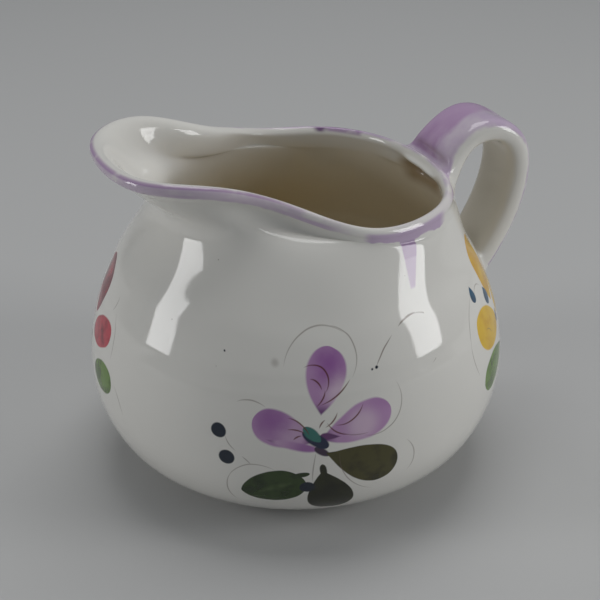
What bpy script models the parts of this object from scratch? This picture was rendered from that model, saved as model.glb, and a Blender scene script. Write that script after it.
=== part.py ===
"""Pouring pitcher with a pulled lip and a strap handle, cast in one.

Metres, Z up. The origin is on the body's axis, level with the foot it stands on.
The lip points to -X and the handle to +X, and both sides of the plane Y = 0 mirror each other.
A cage of four-sided faces is laid through points of the real surface, and a Subdivision
Surface modifier rounds it.
"""
from math import asin, cos, pi, radians, sin

import bmesh
import bpy
from mathutils import Vector

# Wall and foot
WALL = 0.0042
LIP_THICKNESS = 0.0050
RIM_THICKNESS = 0.0041
FLOOR_THICKNESS = 0.0046
FOOT_RADIUS = 0.0536
FOOT_RING_WIDTH = 0.0080
FOOT_RECESS = 0.0010
FOOT_BEVEL = 0.0015

# Body profile: radius and height of its main points, and the slopes there
HEEL_ANGLE = radians(35)
BELLY_RADIUS = 0.0850
BELLY_HEIGHT = 0.0465
SHOULDER_RADIUS = 0.0692
SHOULDER_HEIGHT = 0.0960
SHOULDER_LEAN = radians(30)
NECK_RADIUS = 0.0650
NECK_HEIGHT = 0.1088
FOLD_RADIUS = 0.0578
FOLD_HEIGHT = 0.1155
FOLD_FADE_START = -0.0400
FOLD_FADE_END = 0.0100

# How full the profile's curves are, as shares of the rise that each one spans
HEEL_FULLNESS = 0.07
BELLY_FULLNESS_BELOW = 0.75
BELLY_FULLNESS_ABOVE = 0.41
SHOULDER_FULLNESS = 0.25

# Mouth seen from above: the lip, where it is widest, the round mouth and its back
LIP_REACH = 0.0773
LIP_WIDTH = 0.0816
LIP_WIDEST_FROM_AXIS = 0.0363
MOUTH_WIDTH = 0.1130
MOUTH_WIDEST_FROM_AXIS = 0.0093
MOUTH_BACK = 0.0588

# How full the mouth's curves are, as shares of the length that each one spans
LIP_TIP_FULLNESS = 0.75
LIP_SIDE_FULLNESS = 0.61
LIP_THROAT_FULLNESS = 0.46
MOUTH_SIDE_FULLNESS = 0.40
MOUTH_ROUND_FULLNESS = 0.57
MOUTH_BACK_FULLNESS = 0.64

# Rim seen from the side: level round the mouth, then up along the lip
RIM_HEIGHT = 0.1177
LIP_RISE = 0.0218
LIP_RISE_START = -0.0189
LIP_RISE_END = 0.0607

# How far the wall turns outwards as it reaches the rim
LIP_FLARE = radians(58)
THROAT_FLARE = radians(50)
MOUTH_FLARE = radians(12)
BACK_FLARE = radians(-10)
FLARE_LENGTH = 0.55

# Strap handle
STRAP_WIDTH = 0.0290
STRAP_THICKNESS = 0.0096
STRAP_RISE = 0.0140
STRAP_REACH = 0.0380
STRAP_APEX_FROM_RIM = 0.0230
STRAP_OUTER_HEIGHT = 0.1139
UPPER_ROOT_WIDTH = 0.0360
UPPER_ROOT_BLEND = 0.0115
LOWER_ROOT_WIDTH = 0.0296
LOWER_ROOT_HEIGHT = 0.0724
LOWER_ROOT_LENGTH = 0.0118
LOWER_ROOT_BLEND = 0.0065
DIMPLE_DEPTH = 0.0048

# Directions in which the strap leaves the rim and meets the belly, from the horizontal
STRAP_START_ANGLE = radians(84)
STRAP_END_ANGLE = radians(-124)

# Cage counts
COLUMNS = 30
HALF = COLUMNS // 2
ROOT_COLUMNS = 2
STRAP_SECTIONS = 9


def bezier(a, b, c, d, t):
    s = 1 - t
    return a * s ** 3 + b * 3 * s * s * t + c * 3 * s * t * t + d * t ** 3


def smooth_step(t):
    t = min(max(t, 0.0), 1.0)
    return t * t * (3 - 2 * t)


# Body profile as (radius, height), one curve from foot to belly and one from belly to shoulder
FOOT = Vector((FOOT_RADIUS + FOOT_BEVEL * cos(HEEL_ANGLE), FOOT_BEVEL * sin(HEEL_ANGLE)))
BELLY = Vector((BELLY_RADIUS, BELLY_HEIGHT))
SHOULDER = Vector((SHOULDER_RADIUS, SHOULDER_HEIGHT))
LEAN = Vector((-sin(SHOULDER_LEAN), cos(SHOULDER_LEAN)))
UPPER_RISE = SHOULDER_HEIGHT - BELLY_HEIGHT
LOWER_CURVE = (
    FOOT,
    FOOT + HEEL_FULLNESS * BELLY_HEIGHT * Vector((cos(HEEL_ANGLE), sin(HEEL_ANGLE))),
    BELLY - Vector((0, BELLY_FULLNESS_BELOW * BELLY_HEIGHT)),
    BELLY,
)
UPPER_CURVE = (
    BELLY,
    BELLY + Vector((0, BELLY_FULLNESS_ABOVE * UPPER_RISE)),
    SHOULDER - SHOULDER_FULLNESS * UPPER_RISE * LEAN,
    SHOULDER,
)


def body_radius(height):
    """Outer radius of the round body at a height between heel and shoulder."""
    curve = LOWER_CURVE if height < BELLY_HEIGHT else UPPER_CURVE
    low, high = 0.0, 1.0
    for _ in range(40):
        middle = (low + high) / 2
        if bezier(*curve, middle).y < height:
            low = middle
        else:
            high = middle
    return bezier(*curve, low).x


def mouth_curve():
    """Half of the mouth from the lip's tip round to the back, as close points seen from above.

    The first value runs towards the lip, and the second to the side.
    """
    tip = Vector((LIP_REACH, 0))
    lip = Vector((LIP_WIDEST_FROM_AXIS, LIP_WIDTH / 2))
    side = Vector((-MOUTH_WIDEST_FROM_AXIS, MOUTH_WIDTH / 2))
    back = Vector((-MOUTH_BACK, 0))
    tip_run = LIP_REACH - LIP_WIDEST_FROM_AXIS
    throat_run = LIP_WIDEST_FROM_AXIS + MOUTH_WIDEST_FROM_AXIS
    back_run = MOUTH_BACK - MOUTH_WIDEST_FROM_AXIS
    arcs = (
        (tip, tip + Vector((0, LIP_TIP_FULLNESS * lip.y)),
         lip + Vector((LIP_SIDE_FULLNESS * tip_run, 0)), lip),
        (lip, lip - Vector((LIP_THROAT_FULLNESS * throat_run, 0)),
         side + Vector((MOUTH_SIDE_FULLNESS * throat_run, 0)), side),
        (side, side - Vector((MOUTH_ROUND_FULLNESS * back_run, 0)),
         back + Vector((0, MOUTH_BACK_FULLNESS * side.y)), back),
    )
    points = [tip]
    for arc in arcs:
        points += [bezier(*arc, step / 48) for step in range(1, 49)]
    return points


def mouth_stations():
    """Place and outward direction of the rim at each column, seen from above."""
    points = mouth_curve()
    along = [0.0]
    for a, b in zip(points, points[1:]):
        along.append(along[-1] + (b - a).length)
    root = UPPER_ROOT_WIDTH / 2
    free = HALF - ROOT_COLUMNS
    wanted = [(along[-1] - root) * j / free for j in range(free + 1)]
    wanted += [along[-1] - root / 2, along[-1]]
    stations = []
    for distance in wanted:
        k = max(i for i in range(len(points) - 1) if along[i] <= distance)
        part = (distance - along[k]) / (along[k + 1] - along[k])
        before = points[max(k - 1, 0)]
        after = points[min(k + 2, len(points) - 1)]
        run = (after - before).normalized()
        stations.append((points[k].lerp(points[k + 1], part), Vector((run.y, -run.x))))
    stations[0] = (stations[0][0], Vector((1, 0)))
    stations[-1] = (stations[-1][0], Vector((-1, 0)))
    return stations


def flare_at(toward_lip):
    """Outward turn of the wall at the rim, blended between the four places that are named."""
    marks = (
        (-MOUTH_BACK, BACK_FLARE),
        (-MOUTH_WIDEST_FROM_AXIS, MOUTH_FLARE),
        (LIP_WIDEST_FROM_AXIS, THROAT_FLARE),
        (LIP_REACH, LIP_FLARE),
    )
    for (x0, f0), (x1, f1) in zip(marks, marks[1:]):
        if toward_lip <= x1:
            return f0 + (f1 - f0) * smooth_step((toward_lip - x0) / (x1 - x0))
    return LIP_FLARE


def half_columns(root_angle):
    """Angles of half the columns on a round ring, from the lip (0) to the handle (pi)."""
    free = HALF - ROOT_COLUMNS
    angles = [(pi - root_angle) * j / free for j in range(free + 1)]
    return angles + [pi - root_angle / 2, pi]


def mirrored(half):
    """A whole ring from its half: the other side has the same points with Y turned over."""
    return half + [Vector((p.x, -p.y, p.z)) for p in half[-2:0:-1]]


def round_ring(radius, height, root_width):
    angles = half_columns(asin(root_width / 2 / radius))
    return mirrored([Vector((-radius * cos(a), radius * sin(a), height)) for a in angles])


def upper_rings():
    """Rings above the shoulder: neck, three up the wall, then over the round rim to its inside."""
    neck = round_ring(NECK_RADIUS, NECK_HEIGHT, UPPER_ROOT_WIDTH)
    for point in neck:
        fold = smooth_step((-point.x - FOLD_FADE_START) / (FOLD_FADE_END - FOLD_FADE_START))
        point.xy *= 1 - fold * (1 - FOLD_RADIUS / NECK_RADIUS)
        point.z += fold * (FOLD_HEIGHT - NECK_HEIGHT)
    shares = (0.42, 0.80)
    climbing = [[] for _ in shares]
    outside, crest, inside = [], [], []
    for foot, (place, outward) in zip(neck, mouth_stations()):
        rise = smooth_step((place.x - LIP_RISE_START) / (LIP_RISE_END - LIP_RISE_START))
        half = (RIM_THICKNESS + (LIP_THICKNESS - RIM_THICKNESS) * rise) / 2
        centre = Vector((-place.x, place.y, RIM_HEIGHT + LIP_RISE * rise))
        away = Vector((-outward.x, outward.y, 0))
        flare = flare_at(place.x)
        up = away * sin(flare) + Vector((0, 0, cos(flare)))
        across = away * cos(flare) - Vector((0, 0, sin(flare)))
        edge = centre + across * half
        turn = edge - up * FLARE_LENGTH * (edge - foot).length
        for ring, t in zip(climbing, shares):
            ring.append(foot * (1 - t) ** 2 + turn * 2 * t * (1 - t) + edge * t * t)
        outside.append(edge)
        crest.append(centre + up * half)
        inside.append(centre - across * half)
    rings = [neck] + [mirrored(r) for r in climbing + [outside, crest, inside]]
    return rings


def surface_normals(rings, row):
    """Outward directions of the surface along one ring, from the rings on both sides of it."""
    above, below, own = rings[row + 1], rings[row - 1], rings[row]
    count = len(own)
    return [
        (own[(j - 1) % count] - own[(j + 1) % count]).cross(above[j] - below[j]).normalized()
        for j in range(count)
    ]


def next_ring(bm, ring, places):
    """Extrude a closed ring of vertices and set the new one in its places."""
    closed = ring + ring[:1]
    edges = [bm.edges.get((a, b)) for a, b in zip(closed, closed[1:])]
    grown = bmesh.ops.extrude_edge_only(bm, edges=edges)["geom"]
    fresh = {v for v in grown if isinstance(v, bmesh.types.BMVert)}
    new = []
    for vertex, place in zip(ring, places):
        twin = next(e.other_vert(vertex) for e in vertex.link_edges
                    if e.other_vert(vertex) in fresh)
        twin.co = place
        new.append(twin)
    return new


def strap_path():
    """Centre line of the strap as close points (x, z), between its roots on the wall."""
    rim_edge = Vector((MOUTH_BACK + RIM_THICKNESS / 2 * cos(BACK_FLARE), RIM_HEIGHT))
    start = (rim_edge + Vector((NECK_RADIUS, NECK_HEIGHT))) / 2
    apex = Vector((MOUTH_BACK + STRAP_APEX_FROM_RIM, RIM_HEIGHT + STRAP_RISE))
    outer = Vector((MOUTH_BACK + STRAP_REACH, STRAP_OUTER_HEIGHT))
    end = Vector((body_radius(LOWER_ROOT_HEIGHT), LOWER_ROOT_HEIGHT))
    climb = apex.y - start.y
    drop = outer.y - end.y
    arcs = (
        (start, start + 0.50 * climb * Vector((cos(STRAP_START_ANGLE), sin(STRAP_START_ANGLE))),
         apex - Vector((0.65 * (apex.x - start.x), 0)), apex),
        (apex, apex + Vector((0.70 * (outer.x - apex.x), 0)),
         outer + Vector((0, 0.51 * (apex.y - outer.y))), outer),
        (outer, outer - Vector((0, 0.38 * drop)),
         end - 0.35 * drop * Vector((cos(STRAP_END_ANGLE), sin(STRAP_END_ANGLE))), end),
    )
    points = [start]
    for arc in arcs:
        points += [bezier(*arc, step / 40) for step in range(1, 41)]
    return points


def strap_outline(half_width, half_thickness):
    """The strap's section as (across, out) points: flat faces and round edges."""
    core = half_width - half_thickness
    quarter = [(0.0, half_thickness), (0.55 * half_width, half_thickness)]
    for angle in (55, 18):
        turn = radians(angle)
        quarter.append((core + half_thickness * cos(turn), half_thickness * sin(turn)))
    side = quarter[1:] + [(a, -b) for a, b in quarter[:0:-1]]
    return [quarter[0]] + side + [(0.0, -half_thickness)] + [(-a, b) for a, b in side[::-1]]


def strap_sections():
    """Rings of places along the strap, from one root's blend to the other's."""
    points = strap_path()
    along = [0.0]
    for a, b in zip(points, points[1:]):
        along.append(along[-1] + (b - a).length)
    run = along[-1] - UPPER_ROOT_BLEND - LOWER_ROOT_BLEND
    sections = []
    for i in range(STRAP_SECTIONS):
        distance = UPPER_ROOT_BLEND + run * i / (STRAP_SECTIONS - 1)
        k = max(n for n in range(len(points) - 1) if along[n] <= distance)
        centre = points[k].lerp(points[k + 1], (distance - along[k]) / (along[k + 1] - along[k]))
        heading = (points[k + 1] - points[k]).normalized()
        out = Vector((-heading.y, 0, heading.x))
        near_start = max(0.0, 1 - distance / (2 * UPPER_ROOT_BLEND)) ** 2
        near_end = max(0.0, 1 - (along[-1] - distance) / (2 * LOWER_ROOT_BLEND)) ** 2
        width = STRAP_WIDTH + (UPPER_ROOT_WIDTH - STRAP_WIDTH) * near_start
        width += (LOWER_ROOT_WIDTH - STRAP_WIDTH) * near_end
        middle = Vector((centre.x, 0, centre.y))
        sections.append([middle + Vector((0, a, 0)) + out * b
                         for a, b in strap_outline(width / 2, STRAP_THICKNESS / 2)])
    return sections


def root_loop(rows):
    """Edge of a root's patch of the wall, in the order of a strap section.

    rows holds the wall's rings from the strap's outer face to its inner face.
    """
    left, right = HALF - ROOT_COLUMNS, HALF + ROOT_COLUMNS
    loop = [rows[0][j] for j in range(HALF, left - 1, -1)]
    loop += [row[left] for row in rows[1:-1]]
    loop += [rows[-1][j] for j in range(left, right + 1)]
    loop += [row[right] for row in rows[-2:0:-1]]
    loop += [rows[0][j] for j in range(right, HALF, -1)]
    return loop


def open_patch(bm, rows):
    """Take the wall's faces out of a root's patch, so the strap can grow from its edge."""
    left, right = HALF - ROOT_COLUMNS, HALF + ROOT_COLUMNS
    inside = {v for row in rows for v in row[left:right + 1]}
    faces = [f for f in bm.faces if all(v in inside for v in f.verts)]
    bmesh.ops.delete(bm, geom=faces, context="FACES")


def settle(bm, creased, free):
    """Move the cage so that the rounded surface passes through the places given to it.

    The free vertices stay where they are, so that the strap's roots run softly into the wall.
    """
    targets = {v: v.co.copy() for v in bm.verts}
    rules = []
    for v in bm.verts:
        sharp = [e for e in v.link_edges if e in creased]
        if v in free:
            continue
        if sharp:
            rules.append((v, [e.other_vert(v) for e in sharp], None))
        elif all(len(f.verts) == 4 for f in v.link_faces):
            near = [e.other_vert(v) for e in v.link_edges]
            far = [w for f in v.link_faces for w in f.verts if w is not v and w not in near]
            rules.append((v, near, far))
    for _ in range(24):
        moves = []
        for v, near, far in rules:
            if far is None:
                smooth = (v.co * 4 + near[0].co + near[1].co) / 6
            else:
                n = len(near)
                smooth = v.co * n * n + 4 * sum((w.co for w in near), Vector())
                smooth = (smooth + sum((w.co for w in far), Vector())) / (n * (n + 5))
            moves.append((v, targets[v] - smooth))
        for v, move in moves:
            v.co += move


def pitcher_mesh():
    bm = bmesh.new()
    creased = set()

    # Rings up the outside, from the middle of the underside to the shoulder
    root_low = LOWER_ROOT_HEIGHT - LOWER_ROOT_LENGTH / 2
    root_rows = [root_low + LOWER_ROOT_LENGTH * i / 3 for i in range(4)]
    belly_rows = [FOOT.y + (root_low - FOOT.y) * i / 6 for i in range(1, 6)]
    above = (root_rows[-1] + SHOULDER_HEIGHT) / 2
    foot_inner = FOOT_RADIUS - FOOT_RING_WIDTH
    outer = [
        round_ring(foot_inner * 0.55, FOOT_RECESS, LOWER_ROOT_WIDTH),
        round_ring(foot_inner - FOOT_RECESS, FOOT_RECESS, LOWER_ROOT_WIDTH),
        round_ring(foot_inner, 0, LOWER_ROOT_WIDTH),
        round_ring(FOOT_RADIUS, 0, LOWER_ROOT_WIDTH),
        round_ring(FOOT.x, FOOT.y, LOWER_ROOT_WIDTH),
    ]
    heel = len(outer) - 1
    outer += [round_ring(body_radius(z), z, LOWER_ROOT_WIDTH) for z in belly_rows]
    lower_root = len(outer)
    outer += [round_ring(body_radius(z), z, LOWER_ROOT_WIDTH) for z in root_rows]
    outer.append(round_ring(body_radius(above), above, (LOWER_ROOT_WIDTH + UPPER_ROOT_WIDTH) / 2))
    outer.append(round_ring(SHOULDER_RADIUS, SHOULDER_HEIGHT, UPPER_ROOT_WIDTH))
    upper_root = len(outer)
    outer += upper_rings()
    rim_outside = upper_root + 3

    # Rings down the inside, one wall inwards from chosen rings of the outside
    inner = []
    floor = FOOT_RECESS + FLOOR_THICKNESS
    chosen = [rim_outside - 1, upper_root + 1, upper_root, upper_root - 1, lower_root + 3,
              lower_root + 1, lower_root - 1, lower_root - 3, heel + 1]
    for row in chosen:
        ring = [p - n * WALL for p, n in zip(outer[row], surface_normals(outer, row))]
        depth = {upper_root + 1: 1.0, upper_root: 0.3, upper_root - 1: 0.1,
                 lower_root + 1: 0.5}.get(row, 0.0)
        for j in range(HALF - 1, HALF + 2):
            ring[j] = ring[j] + Vector((DIMPLE_DEPTH * depth, 0, 0))
        inner.append(ring)
    floor_radius = body_radius(belly_rows[0]) - WALL - (inner[-1][0].z - floor)
    inner.append(round_ring(floor_radius, floor, LOWER_ROOT_WIDTH))
    inner.append(round_ring(floor_radius * 0.8, floor, LOWER_ROOT_WIDTH))

    # One skin: underside, outside, rim, inside, floor
    start = bmesh.ops.create_circle(bm, segments=COLUMNS, radius=foot_inner, cap_ends=False)
    ring = list(start["verts"])
    for vertex, place in zip(ring, outer[0]):
        vertex.co = place
    bmesh.ops.contextual_create(bm, geom=[e for e in bm.edges])
    rows = [ring]
    for places in outer[1:] + inner:
        rows.append(next_ring(bm, rows[-1], places))
    last = rows[-1] + rows[-1][:1]
    bmesh.ops.contextual_create(bm, geom=[bm.edges.get(pair) for pair in zip(last, last[1:])])

    # The strap grows out of the wall under the rim and is welded to the belly
    top_patch = rows[upper_root:rim_outside + 1][::-1]
    low_patch = rows[lower_root:lower_root + 4]
    open_patch(bm, top_patch)
    open_patch(bm, low_patch)
    first, end = root_loop(top_patch), root_loop(low_patch)
    sections = strap_sections()
    blend_in = [v.co.lerp(p, 0.50) for v, p in zip(first, sections[0])]
    blend_out = [v.co.lerp(p, 0.45) for v, p in zip(end, sections[-1])]
    strap = [first]
    for places in [blend_in] + sections + [blend_out, [v.co.copy() for v in end]]:
        strap.append(next_ring(bm, strap[-1], places))
    bmesh.ops.weld_verts(bm, targetmap=dict(zip(strap[-1], end)))

    # The foot ring and its bevel keep crisp edges
    sharpness = bm.edges.layers.float.new("crease_edge")
    for row in rows[1:5]:
        for a, b in zip(row, row[1:] + row[:1]):
            edge = bm.edges.get((a, b))
            edge[sharpness] = 1.0
            creased.add(edge)
    bmesh.ops.recalc_face_normals(bm, faces=bm.faces)
    settle(bm, creased, set(first + strap[1] + strap[-2] + end))

    mesh = bpy.data.meshes.new("pitcher")
    bm.to_mesh(mesh)
    bm.free()
    mesh.shade_smooth()
    return mesh


def glaze():
    material = bpy.data.materials.new("cream_glaze")
    material.use_nodes = True
    shader = material.node_tree.nodes["Principled BSDF"]
    shader.inputs["Base Color"].default_value = (0.74, 0.72, 0.66, 1)
    shader.inputs["Roughness"].default_value = 0.12
    shader.inputs["Metallic"].default_value = 0.0
    return material


for old in list(bpy.data.objects):
    bpy.data.objects.remove(old, do_unlink=True)

pitcher = bpy.data.objects.new("pitcher", pitcher_mesh())
bpy.context.collection.objects.link(pitcher)
pitcher.data.materials.append(glaze())
rounding = pitcher.modifiers.new("rounding", "SUBSURF")
rounding.levels = 1
rounding.render_levels = 1
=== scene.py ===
from math import asin, atan2, cos, hypot, pi, radians, sin

import bmesh
import bpy
from mathutils import Matrix, Vector


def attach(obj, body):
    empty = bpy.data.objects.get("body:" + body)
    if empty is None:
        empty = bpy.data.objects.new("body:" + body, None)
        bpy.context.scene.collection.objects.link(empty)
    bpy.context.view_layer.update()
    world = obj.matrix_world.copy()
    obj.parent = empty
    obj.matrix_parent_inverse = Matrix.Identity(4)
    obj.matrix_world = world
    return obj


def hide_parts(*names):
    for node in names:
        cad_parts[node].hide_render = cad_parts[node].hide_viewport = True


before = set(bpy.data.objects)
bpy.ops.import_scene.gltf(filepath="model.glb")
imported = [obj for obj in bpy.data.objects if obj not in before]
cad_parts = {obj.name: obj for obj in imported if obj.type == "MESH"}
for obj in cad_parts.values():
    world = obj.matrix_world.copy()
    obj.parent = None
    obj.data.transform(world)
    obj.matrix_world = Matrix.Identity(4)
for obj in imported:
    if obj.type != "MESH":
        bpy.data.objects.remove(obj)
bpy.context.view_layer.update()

# The photograph's camera. It stands in front and a little to the lip's side, and looks
# down into the mouth.
CAMERA_TURN = radians(-23.17)
CAMERA_DROP = radians(27.46)
CAMERA_ROLL = radians(0.36)
CAMERA_DISTANCE = 0.5989
AIM_ASIDE = 0.00186
AIM_HEIGHT = 0.06601
SENSOR = 36.0
LENS = 86.79

turn = Matrix.Rotation(CAMERA_TURN, 3, "Z")
stand = Vector((AIM_ASIDE, -CAMERA_DISTANCE * cos(CAMERA_DROP), 0))
stand.z = AIM_HEIGHT + CAMERA_DISTANCE * sin(CAMERA_DROP)
stand = turn @ stand
aim = turn @ Vector((AIM_ASIDE, 0, AIM_HEIGHT))
lens = bpy.data.cameras.new("camera")
lens.lens = LENS
lens.sensor_width = SENSOR
camera = bpy.data.objects.new("camera", lens)
bpy.context.collection.objects.link(camera)
look = (aim - stand).to_track_quat("-Z", "Y").to_matrix() @ Matrix.Rotation(-CAMERA_ROLL, 3, "Z")
camera.matrix_world = Matrix.Translation(stand) @ look.to_4x4()
bpy.context.scene.camera = camera

# The pitcher's wall. Slip-cast earthenware, 4 to 5 mm thick: a round belly on a small foot,
# drawn in to a neck, with a pulled trumpet lip and a rolled rim all round. It is laid out as
# rings of points, up the outside, over the rim and down the inside to the floor.
WALL = 0.0042
LIP_THICKNESS = 0.0050
RIM_THICKNESS = 0.0041
FLOOR_THICKNESS = 0.0046
FOOT_RADIUS = 0.0536
FOOT_RING_WIDTH = 0.0080
FOOT_RECESS = 0.0010
FOOT_BEVEL = 0.0015
HEEL_ANGLE = radians(35)
BELLY_RADIUS = 0.0850
BELLY_HEIGHT = 0.0465
SHOULDER_RADIUS = 0.0692
SHOULDER_HEIGHT = 0.0960
SHOULDER_LEAN = radians(30)
NECK_RADIUS = 0.0650
NECK_HEIGHT = 0.1088
FOLD_RADIUS = 0.0578
FOLD_HEIGHT = 0.1155
FOLD_FADE_START = -0.0400
FOLD_FADE_END = 0.0100
LIP_REACH = 0.0773
LIP_WIDTH = 0.0816
LIP_WIDEST_FROM_AXIS = 0.0363
MOUTH_WIDTH = 0.1130
MOUTH_WIDEST_FROM_AXIS = 0.0093
MOUTH_BACK = 0.0588
RIM_HEIGHT = 0.1177
LIP_RISE = 0.0218
LIP_RISE_START = -0.0189
LIP_RISE_END = 0.0607
LIP_FLARE = radians(58)
THROAT_FLARE = radians(50)
MOUTH_FLARE = radians(12)
BACK_FLARE = radians(-10)
FLARE_LENGTH = 0.55
DIMPLE_DEPTH = 0.0048
COLUMNS = 30
HALF = COLUMNS // 2
ROOT_COLUMNS = 2
UPPER_ROOT_WIDTH = 0.0360
LOWER_ROOT_WIDTH = 0.0296
LOWER_ROOT_HEIGHT = 0.0724
LOWER_ROOT_LENGTH = 0.0118


def bezier(a, b, c, d, t):
    s = 1 - t
    return a * s ** 3 + b * 3 * s * s * t + c * 3 * s * t * t + d * t ** 3


def smooth_step(t):
    t = min(max(t, 0.0), 1.0)
    return t * t * (3 - 2 * t)


foot = Vector((FOOT_RADIUS + FOOT_BEVEL * cos(HEEL_ANGLE), FOOT_BEVEL * sin(HEEL_ANGLE)))
belly = Vector((BELLY_RADIUS, BELLY_HEIGHT))
shoulder = Vector((SHOULDER_RADIUS, SHOULDER_HEIGHT))
lean = Vector((-sin(SHOULDER_LEAN), cos(SHOULDER_LEAN)))
upper_rise = SHOULDER_HEIGHT - BELLY_HEIGHT
lower_curve = (foot, foot + 0.07 * BELLY_HEIGHT * Vector((cos(HEEL_ANGLE), sin(HEEL_ANGLE))),
               belly - Vector((0, 0.75 * BELLY_HEIGHT)), belly)
upper_curve = (belly, belly + Vector((0, 0.41 * upper_rise)),
               shoulder - 0.25 * upper_rise * lean, shoulder)


def body_radius(height):
    """Outer radius of the round body at a height between heel and shoulder."""
    curve = lower_curve if height < BELLY_HEIGHT else upper_curve
    low, high = 0.0, 1.0
    for _ in range(40):
        middle = (low + high) / 2
        if bezier(*curve, middle).y < height:
            low = middle
        else:
            high = middle
    return bezier(*curve, low).x


def mouth_curve():
    """Half of the mouth seen from above, as (towards the lip, to the side) points."""
    tip = Vector((LIP_REACH, 0))
    lip = Vector((LIP_WIDEST_FROM_AXIS, LIP_WIDTH / 2))
    side = Vector((-MOUTH_WIDEST_FROM_AXIS, MOUTH_WIDTH / 2))
    back = Vector((-MOUTH_BACK, 0))
    tip_run = LIP_REACH - LIP_WIDEST_FROM_AXIS
    throat_run = LIP_WIDEST_FROM_AXIS + MOUTH_WIDEST_FROM_AXIS
    back_run = MOUTH_BACK - MOUTH_WIDEST_FROM_AXIS
    arcs = (
        (tip, tip + Vector((0, 0.75 * lip.y)), lip + Vector((0.61 * tip_run, 0)), lip),
        (lip, lip - Vector((0.46 * throat_run, 0)), side + Vector((0.40 * throat_run, 0)), side),
        (side, side - Vector((0.57 * back_run, 0)), back + Vector((0, 0.64 * side.y)), back),
    )
    points = [tip]
    for arc in arcs:
        points += [bezier(*arc, step / 48) for step in range(1, 49)]
    return points


def mouth_stations():
    """Place and outward direction of the rim at each column, seen from above."""
    points = mouth_curve()
    along = [0.0]
    for a, b in zip(points, points[1:]):
        along.append(along[-1] + (b - a).length)
    root = UPPER_ROOT_WIDTH / 2
    free = HALF - ROOT_COLUMNS
    wanted = [(along[-1] - root) * j / free for j in range(free + 1)]
    wanted += [along[-1] - root / 2, along[-1]]
    stations = []
    for distance in wanted:
        k = max(i for i in range(len(points) - 1) if along[i] <= distance)
        part = (distance - along[k]) / (along[k + 1] - along[k])
        run = (points[min(k + 2, len(points) - 1)] - points[max(k - 1, 0)]).normalized()
        stations.append((points[k].lerp(points[k + 1], part), Vector((run.y, -run.x))))
    stations[0] = (stations[0][0], Vector((1, 0)))
    stations[-1] = (stations[-1][0], Vector((-1, 0)))
    return stations


def flare_at(toward_lip):
    """Outward turn of the wall at the rim, blended between four places."""
    marks = ((-MOUTH_BACK, BACK_FLARE), (-MOUTH_WIDEST_FROM_AXIS, MOUTH_FLARE),
             (LIP_WIDEST_FROM_AXIS, THROAT_FLARE), (LIP_REACH, LIP_FLARE))
    for (x0, f0), (x1, f1) in zip(marks, marks[1:]):
        if toward_lip <= x1:
            return f0 + (f1 - f0) * smooth_step((toward_lip - x0) / (x1 - x0))
    return LIP_FLARE


def mirrored(half):
    """A whole ring from its half: the other side has the same points with Y turned over."""
    return half + [Vector((p.x, -p.y, p.z)) for p in half[-2:0:-1]]


def round_ring(radius, height, root_width):
    root = asin(root_width / 2 / radius)
    free = HALF - ROOT_COLUMNS
    angles = [(pi - root) * j / free for j in range(free + 1)] + [pi - root / 2, pi]
    return mirrored([Vector((-radius * cos(a), radius * sin(a), height)) for a in angles])


def upper_rings():
    """Rings above the shoulder: neck, two up the wall, then over the rolled rim."""
    neck = round_ring(NECK_RADIUS, NECK_HEIGHT, UPPER_ROOT_WIDTH)
    for point in neck:
        fold = smooth_step((-point.x - FOLD_FADE_START) / (FOLD_FADE_END - FOLD_FADE_START))
        point.xy *= 1 - fold * (1 - FOLD_RADIUS / NECK_RADIUS)
        point.z += fold * (FOLD_HEIGHT - NECK_HEIGHT)
    shares = (0.42, 0.80)
    climbing = [[] for _ in shares]
    outside, crest, inside = [], [], []
    for start, (place, outward) in zip(neck, mouth_stations()):
        rise = smooth_step((place.x - LIP_RISE_START) / (LIP_RISE_END - LIP_RISE_START))
        half = (RIM_THICKNESS + (LIP_THICKNESS - RIM_THICKNESS) * rise) / 2
        centre = Vector((-place.x, place.y, RIM_HEIGHT + LIP_RISE * rise))
        away = Vector((-outward.x, outward.y, 0))
        flare = flare_at(place.x)
        up = away * sin(flare) + Vector((0, 0, cos(flare)))
        across = away * cos(flare) - Vector((0, 0, sin(flare)))
        edge = centre + across * half
        bend = edge - up * FLARE_LENGTH * (edge - start).length
        for ring, t in zip(climbing, shares):
            ring.append(start * (1 - t) ** 2 + bend * 2 * t * (1 - t) + edge * t * t)
        outside.append(edge)
        crest.append(centre + up * half)
        inside.append(centre - across * half)
    return [neck] + [mirrored(r) for r in climbing + [outside, crest, inside]]


def surface_normals(rings, row):
    """Outward directions of the surface along one ring, from the rings on both sides of it."""
    above, below, own = rings[row + 1], rings[row - 1], rings[row]
    count = len(own)
    return [
        (own[(j - 1) % count] - own[(j + 1) % count]).cross(above[j] - below[j]).normalized()
        for j in range(count)
    ]


root_low = LOWER_ROOT_HEIGHT - LOWER_ROOT_LENGTH / 2
root_rows = [root_low + LOWER_ROOT_LENGTH * i / 3 for i in range(4)]
belly_rows = [foot.y + (root_low - foot.y) * i / 6 for i in range(1, 6)]
above_root = (root_rows[-1] + SHOULDER_HEIGHT) / 2
foot_inner = FOOT_RADIUS - FOOT_RING_WIDTH
outer = [
    round_ring(foot_inner * 0.55, FOOT_RECESS, LOWER_ROOT_WIDTH),
    round_ring(foot_inner - FOOT_RECESS, FOOT_RECESS, LOWER_ROOT_WIDTH),
    round_ring(foot_inner, 0, LOWER_ROOT_WIDTH),
    round_ring(FOOT_RADIUS, 0, LOWER_ROOT_WIDTH),
    round_ring(foot.x, foot.y, LOWER_ROOT_WIDTH),
]
heel = len(outer) - 1
outer += [round_ring(body_radius(z), z, LOWER_ROOT_WIDTH) for z in belly_rows]
lower_root = len(outer)
outer += [round_ring(body_radius(z), z, LOWER_ROOT_WIDTH) for z in root_rows]
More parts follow.
